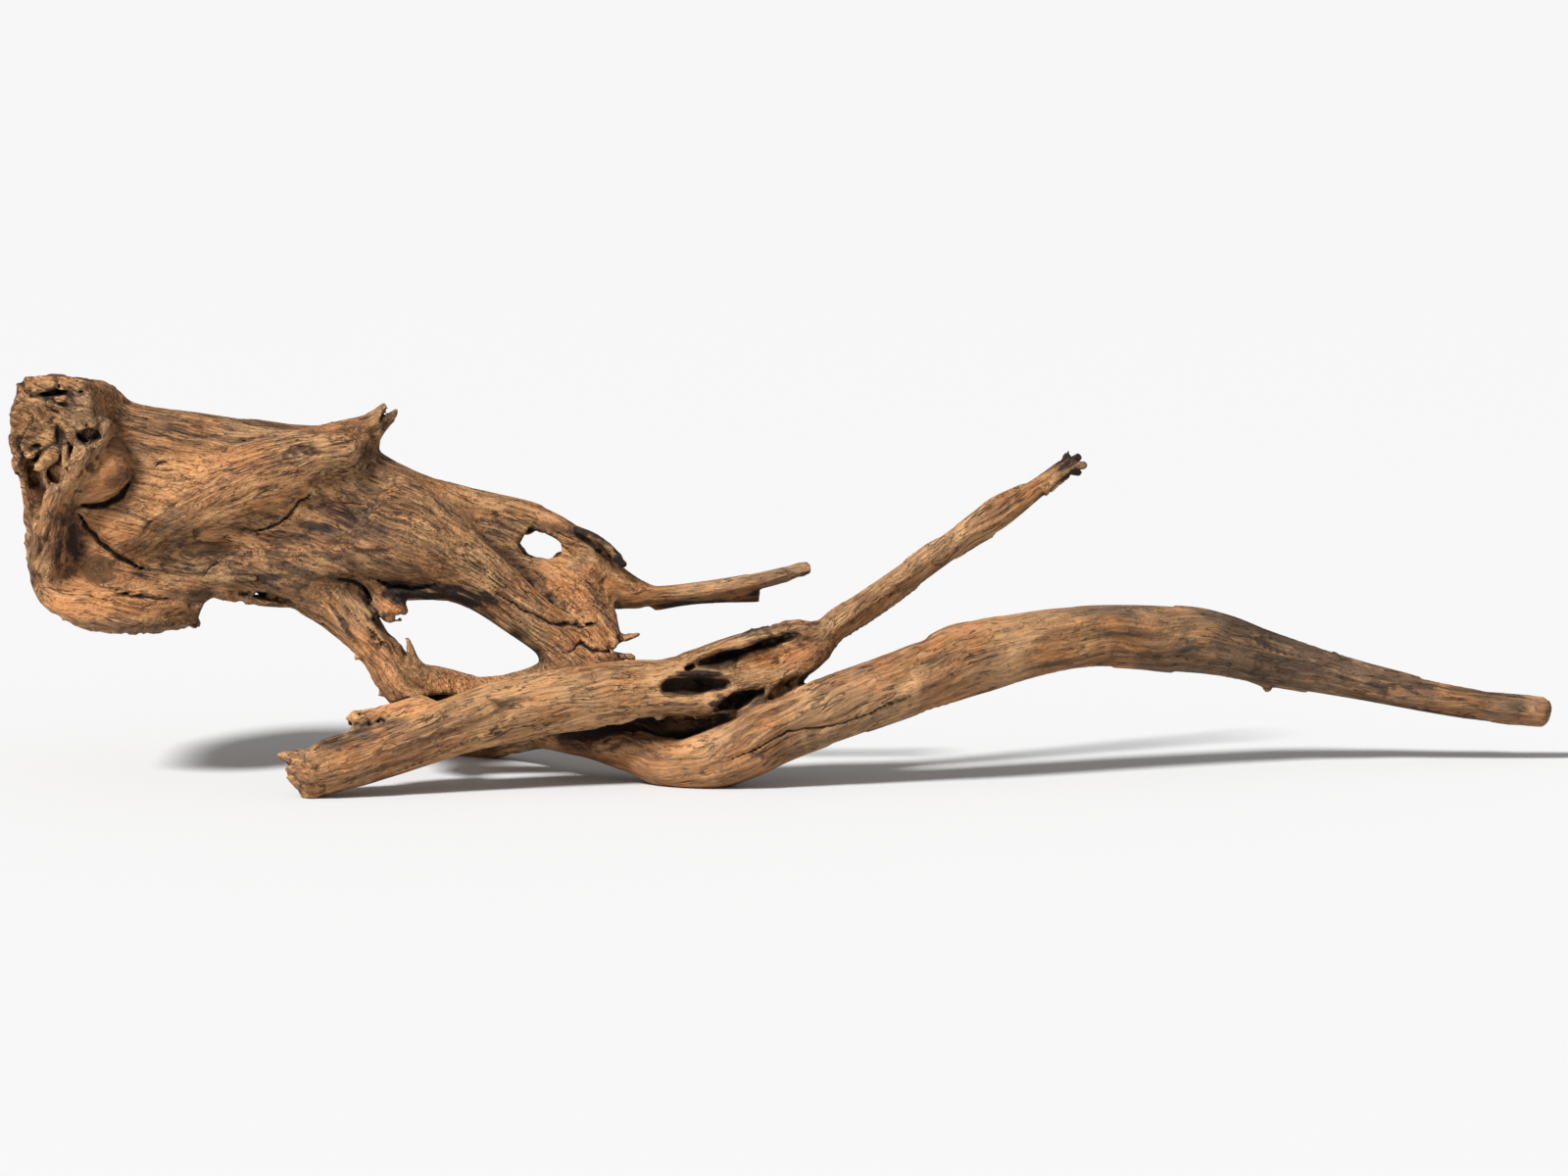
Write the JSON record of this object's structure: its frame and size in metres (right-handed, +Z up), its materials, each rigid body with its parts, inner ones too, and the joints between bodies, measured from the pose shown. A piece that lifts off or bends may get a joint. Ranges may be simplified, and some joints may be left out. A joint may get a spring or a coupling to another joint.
{
  "type": "piece of driftwood",
  "caption": "Weathered driftwood root: a broken trunk end on short limbs, with a pierced web, a spike, a slim twig and a long wavy branch, for decoration.",
  "frame": {"origin": "centre of the bounding box at its lowest point, on the surface that the wood rests on", "axes": "+X along the wood towards the tip of the long branch, +Y away from the front, +Z up"},
  "size_m": [0.9461, 0.2019, 0.2491],
  "materials": {
    "wood": "dry, weathered and matt, with open grain"
  },
  "bodies": {
    "root": {"driftwood": "wood"}
  },
  "joints": []
}
